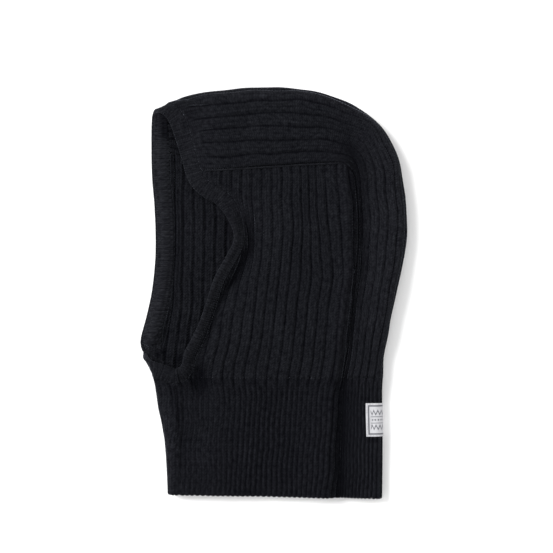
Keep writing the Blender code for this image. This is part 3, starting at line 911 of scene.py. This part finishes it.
def make_panel_seam(name, knots, side, raise_by):
    plan = spline(knots, 900)
    points = lift(plan, sample(UPPER if side > 0 else LOWER, plan))
    ups = way_out(points, side)
    raised = raise_by + 1.1 * side * (1 - smooth(120, 140, arc(plan))) - 1.6 * fold_share(points)
    return cord_mesh(name, [(points + ups * raised[:, None], ups)], 0.95, SEAM_PITCH, SEAM_YARN)


def make_band_seams(face):
    line = face[-1]
    ups = -grid_normals(face, True)[-1]
    sunk = 1.05 + 0.9 * fold_share(line)[:, None]
    ring = cord_mesh("face_band_seam", [(line - ups * sunk, ups)], 0.85, SEAM_PITCH, SEAM_YARN, closed=True)
    up = np.array([0.0, 0.0, 1.0])
    across = resample(face[:, JOIN_STATION], 60) + 0.75 * up
    join = cord_mesh("band_join_seam", [(across, np.tile(up, (60, 1)))], 0.9, 2.2, SEAM_YARN)
    return [ring, join]


# ---------------------------------------------------------------- label
def label_spots(arcs, heights, out):
    """Grid over the back fold of the neck: arc length round the fold, height up it, distance out."""
    edge = knot_curve(NECK_BACK)
    rows = []
    for y in heights:
        back = np.interp(-y, -edge[:, 1], edge[:, 0])
        spot = np.array([back - FOLD_REACH, y])
        radius = (sample(UPPER, spot) - sample(LOWER, spot)) / 2
        angle = np.clip(arcs / radius, -math.pi / 2, math.pi / 2)
        straight = np.maximum(0.0, np.abs(arcs) - radius * math.pi / 2)
        x = back - radius * (1 - np.cos(angle)) - straight
        plan = np.stack([x, np.full_like(x, y)], axis=1)
        high, low = sample(UPPER, plan), sample(LOWER, plan)
        z = (high + low) / 2 + np.sin(angle) * (high - low) / 2
        shift = np.stack([np.cos(angle), np.zeros_like(angle), np.sin(angle)], axis=1)
        rows.append(lift(plan, z) + shift * out)
    return np.array(rows)


def woven():
    """Pale label cloth: fine weave, dark border line and a plain zigzag, line and dot pattern."""
    material, tree, shader = principled("label_cloth", 0.75, 0.3)
    upward = attribute(tree, "course")
    across, height = maths(tree, "ABSOLUTE", attribute(tree, "wale")), maths(tree, "ABSOLUTE", upward)

    def line(value, centre, half):
        gap = maths(tree, "ABSOLUTE", maths(tree, "SUBTRACT", value, centre))
        return maths(tree, "LESS_THAN", gap, half)

    def wave(value, pitch):
        part = maths(tree, "FRACT", maths(tree, "DIVIDE", value, pitch))
        return maths(tree, "ABSOLUTE", maths(tree, "SUBTRACT", part, 0.5))

    edge, side = maths(tree, "SUBTRACT", PATTERN_HALF, height), maths(tree, "SUBTRACT", LABEL_REACH, across)
    inset = maths(tree, "MINIMUM", edge, side)
    ink = line(inset, 2.7, 0.75)
    inside = maths(tree, "GREATER_THAN", inset, 4.6)
    zig = maths(tree, "MULTIPLY", wave(across, 3.2), 8.0)
    marks = line(maths(tree, "SUBTRACT", height, zig), 5.0, 1.0)
    marks = maths(tree, "MAXIMUM", marks, line(height, 3.0, 0.3))
    dot = maths(tree, "ADD", maths(tree, "MULTIPLY", wave(across, 2.4), 2.4), height)
    marks = maths(tree, "MAXIMUM", marks, maths(tree, "LESS_THAN", dot, 0.95))
    ink = maths(tree, "MAXIMUM", ink, maths(tree, "MULTIPLY", marks, inside))
    weave = maths(tree, "ADD", wave(across, 0.5), wave(upward, 0.42))
    mix = node(tree, "ShaderNodeMix", data_type="RGBA")
    mix.inputs[6].default_value = (0.47, 0.47, 0.49, 1.0)
    mix.inputs[7].default_value = (0.06, 0.062, 0.075, 1.0)
    tree.links.new(maths(tree, "MULTIPLY", ink, 0.85), mix.inputs[0])
    tree.links.new(mix.outputs[2], shader.inputs["Base Color"])
    add_bump(tree, maths(tree, "SUBTRACT", weave, maths(tree, "MULTIPLY", ink, 0.4)), 0.12)
    return material


def make_label():
    arcs = np.linspace(-LABEL_REACH, LABEL_REACH, 130) + LABEL_SHIFT
    heights = np.linspace(LABEL_TOP, LABEL_BOTTOM, 80)
    middle = (LABEL_TOP + LABEL_BOTTOM) / 2
    ripple = 0.16 * waves(arcs[None], heights[:, None], 9, 61)
    outer, inner = label_spots(arcs, heights, 2.0), label_spots(arcs, heights, 1.5)
    outer[..., 2] += ripple
    inner[..., 2] += ripple
    wale = np.broadcast_to(arcs[None] - LABEL_SHIFT, outer.shape[:2])
    course = np.broadcast_to(heights[:, None] - middle, outer.shape[:2])
    attributes = {"wale": np.stack([wale, wale]), "course": np.stack([course, course])}
    vertices = np.concatenate([outer.reshape(-1, 3), inner.reshape(-1, 3)])
    faces = sheet_faces(*outer.shape[:2], False)
    label = make_mesh("woven_label", vertices, faces, attributes, woven(), len(faces))
    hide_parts("woven_label")
    stitches = []
    for y in (LABEL_TOP - STITCH_INSET, LABEL_BOTTOM + STITCH_INSET):
        for start in np.arange(-LABEL_REACH + 1.0, LABEL_REACH - 2.0, STITCH_STEP):
            stitches.append(label_spots(np.linspace(start, start + STITCH, 7) + LABEL_SHIFT, [y], 2.05)[0])
    for reach in (-LABEL_REACH + STITCH_INSET, LABEL_REACH - STITCH_INSET):
        for start in np.arange(LABEL_BOTTOM + 1.2, LABEL_TOP - 2.0, STITCH_STEP):
            run = np.linspace(start, start + STITCH, 7)
            stitches.append(label_spots(np.array([reach + LABEL_SHIFT]), run, 2.05)[:, 0])
    bow = np.sin(np.linspace(0, math.pi, 7))[:, None] * 0.18
    lines = []
    for spots in stitches:
        ups = np.tile([0.3, 0.0, 1.0 if spots[3, 2] > 9.0 else -1.0], (7, 1))
        lines.append((spots + ups * bow, ups))
    thread = plain("label_thread", (0.42, 0.42, 0.43), 0.6)
    return [label, cord_mesh("label_stitching", lines, 0.2, 0.9, thread, sides=8)]


band, band_face = make_band()
made = [band, make_left_panel(), make_right_panel(), make_crown(band_face), make_neck(band_face)]
made += make_band_seams(band_face)
made.append(make_panel_seam("left_panel_seam", PANEL_SEAM, 1, 0.7))
made.append(make_panel_seam("right_panel_seam", LOWER_SEAM, -1, -0.3))
made += make_label()
for piece in made:
    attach(piece, "root")


# ---------------------------------------------------------------- floor, light and camera
bpy.ops.mesh.primitive_circle_add(vertices=64, radius=40.0, fill_type="NGON")
floor = bpy.context.object
floor.name = "floor"
floor.data.materials.append(plain("pale_floor", (0.97, 0.97, 0.97), 0.9))


def put(name, data, location=(0.0, 0.0, 0.0)):
    thing = bpy.data.objects.new(name, data)
    thing.location = location
    bpy.context.scene.collection.objects.link(thing)
    return thing


key = bpy.data.lights.new("key", "SUN")
key.energy, key.angle = 3.2, 0.45
sun_x, sun_y, sun_z = -1.0, 0.55, 1.15
tilt, heading = math.atan2(math.hypot(sun_x, sun_y), sun_z), math.atan2(sun_x, -sun_y)
put("key", key).rotation_euler = (tilt, 0.0, heading)

world = bpy.data.worlds.new("studio")
bpy.context.scene.world = world
world.use_nodes = True
background = world.node_tree.nodes["Background"]
background.inputs["Color"].default_value = (1.0, 1.0, 1.0, 1.0)
background.inputs["Strength"].default_value = 1.0

LENS, SENSOR = 150.0, 36.0
SEEN, SEEN_AT = 0.52535, 0.013      # metres across the image, at this height above the floor
camera_data = bpy.data.cameras.new("camera")
camera_data.sensor_width, camera_data.lens, camera_data.clip_end = SENSOR, LENS, 60.0
camera = put("camera", camera_data, (0.0014, 0.0152, SEEN_AT + SEEN * LENS / SENSOR))
bpy.context.scene.camera = camera
bpy.context.scene.view_settings.view_transform = "Standard"
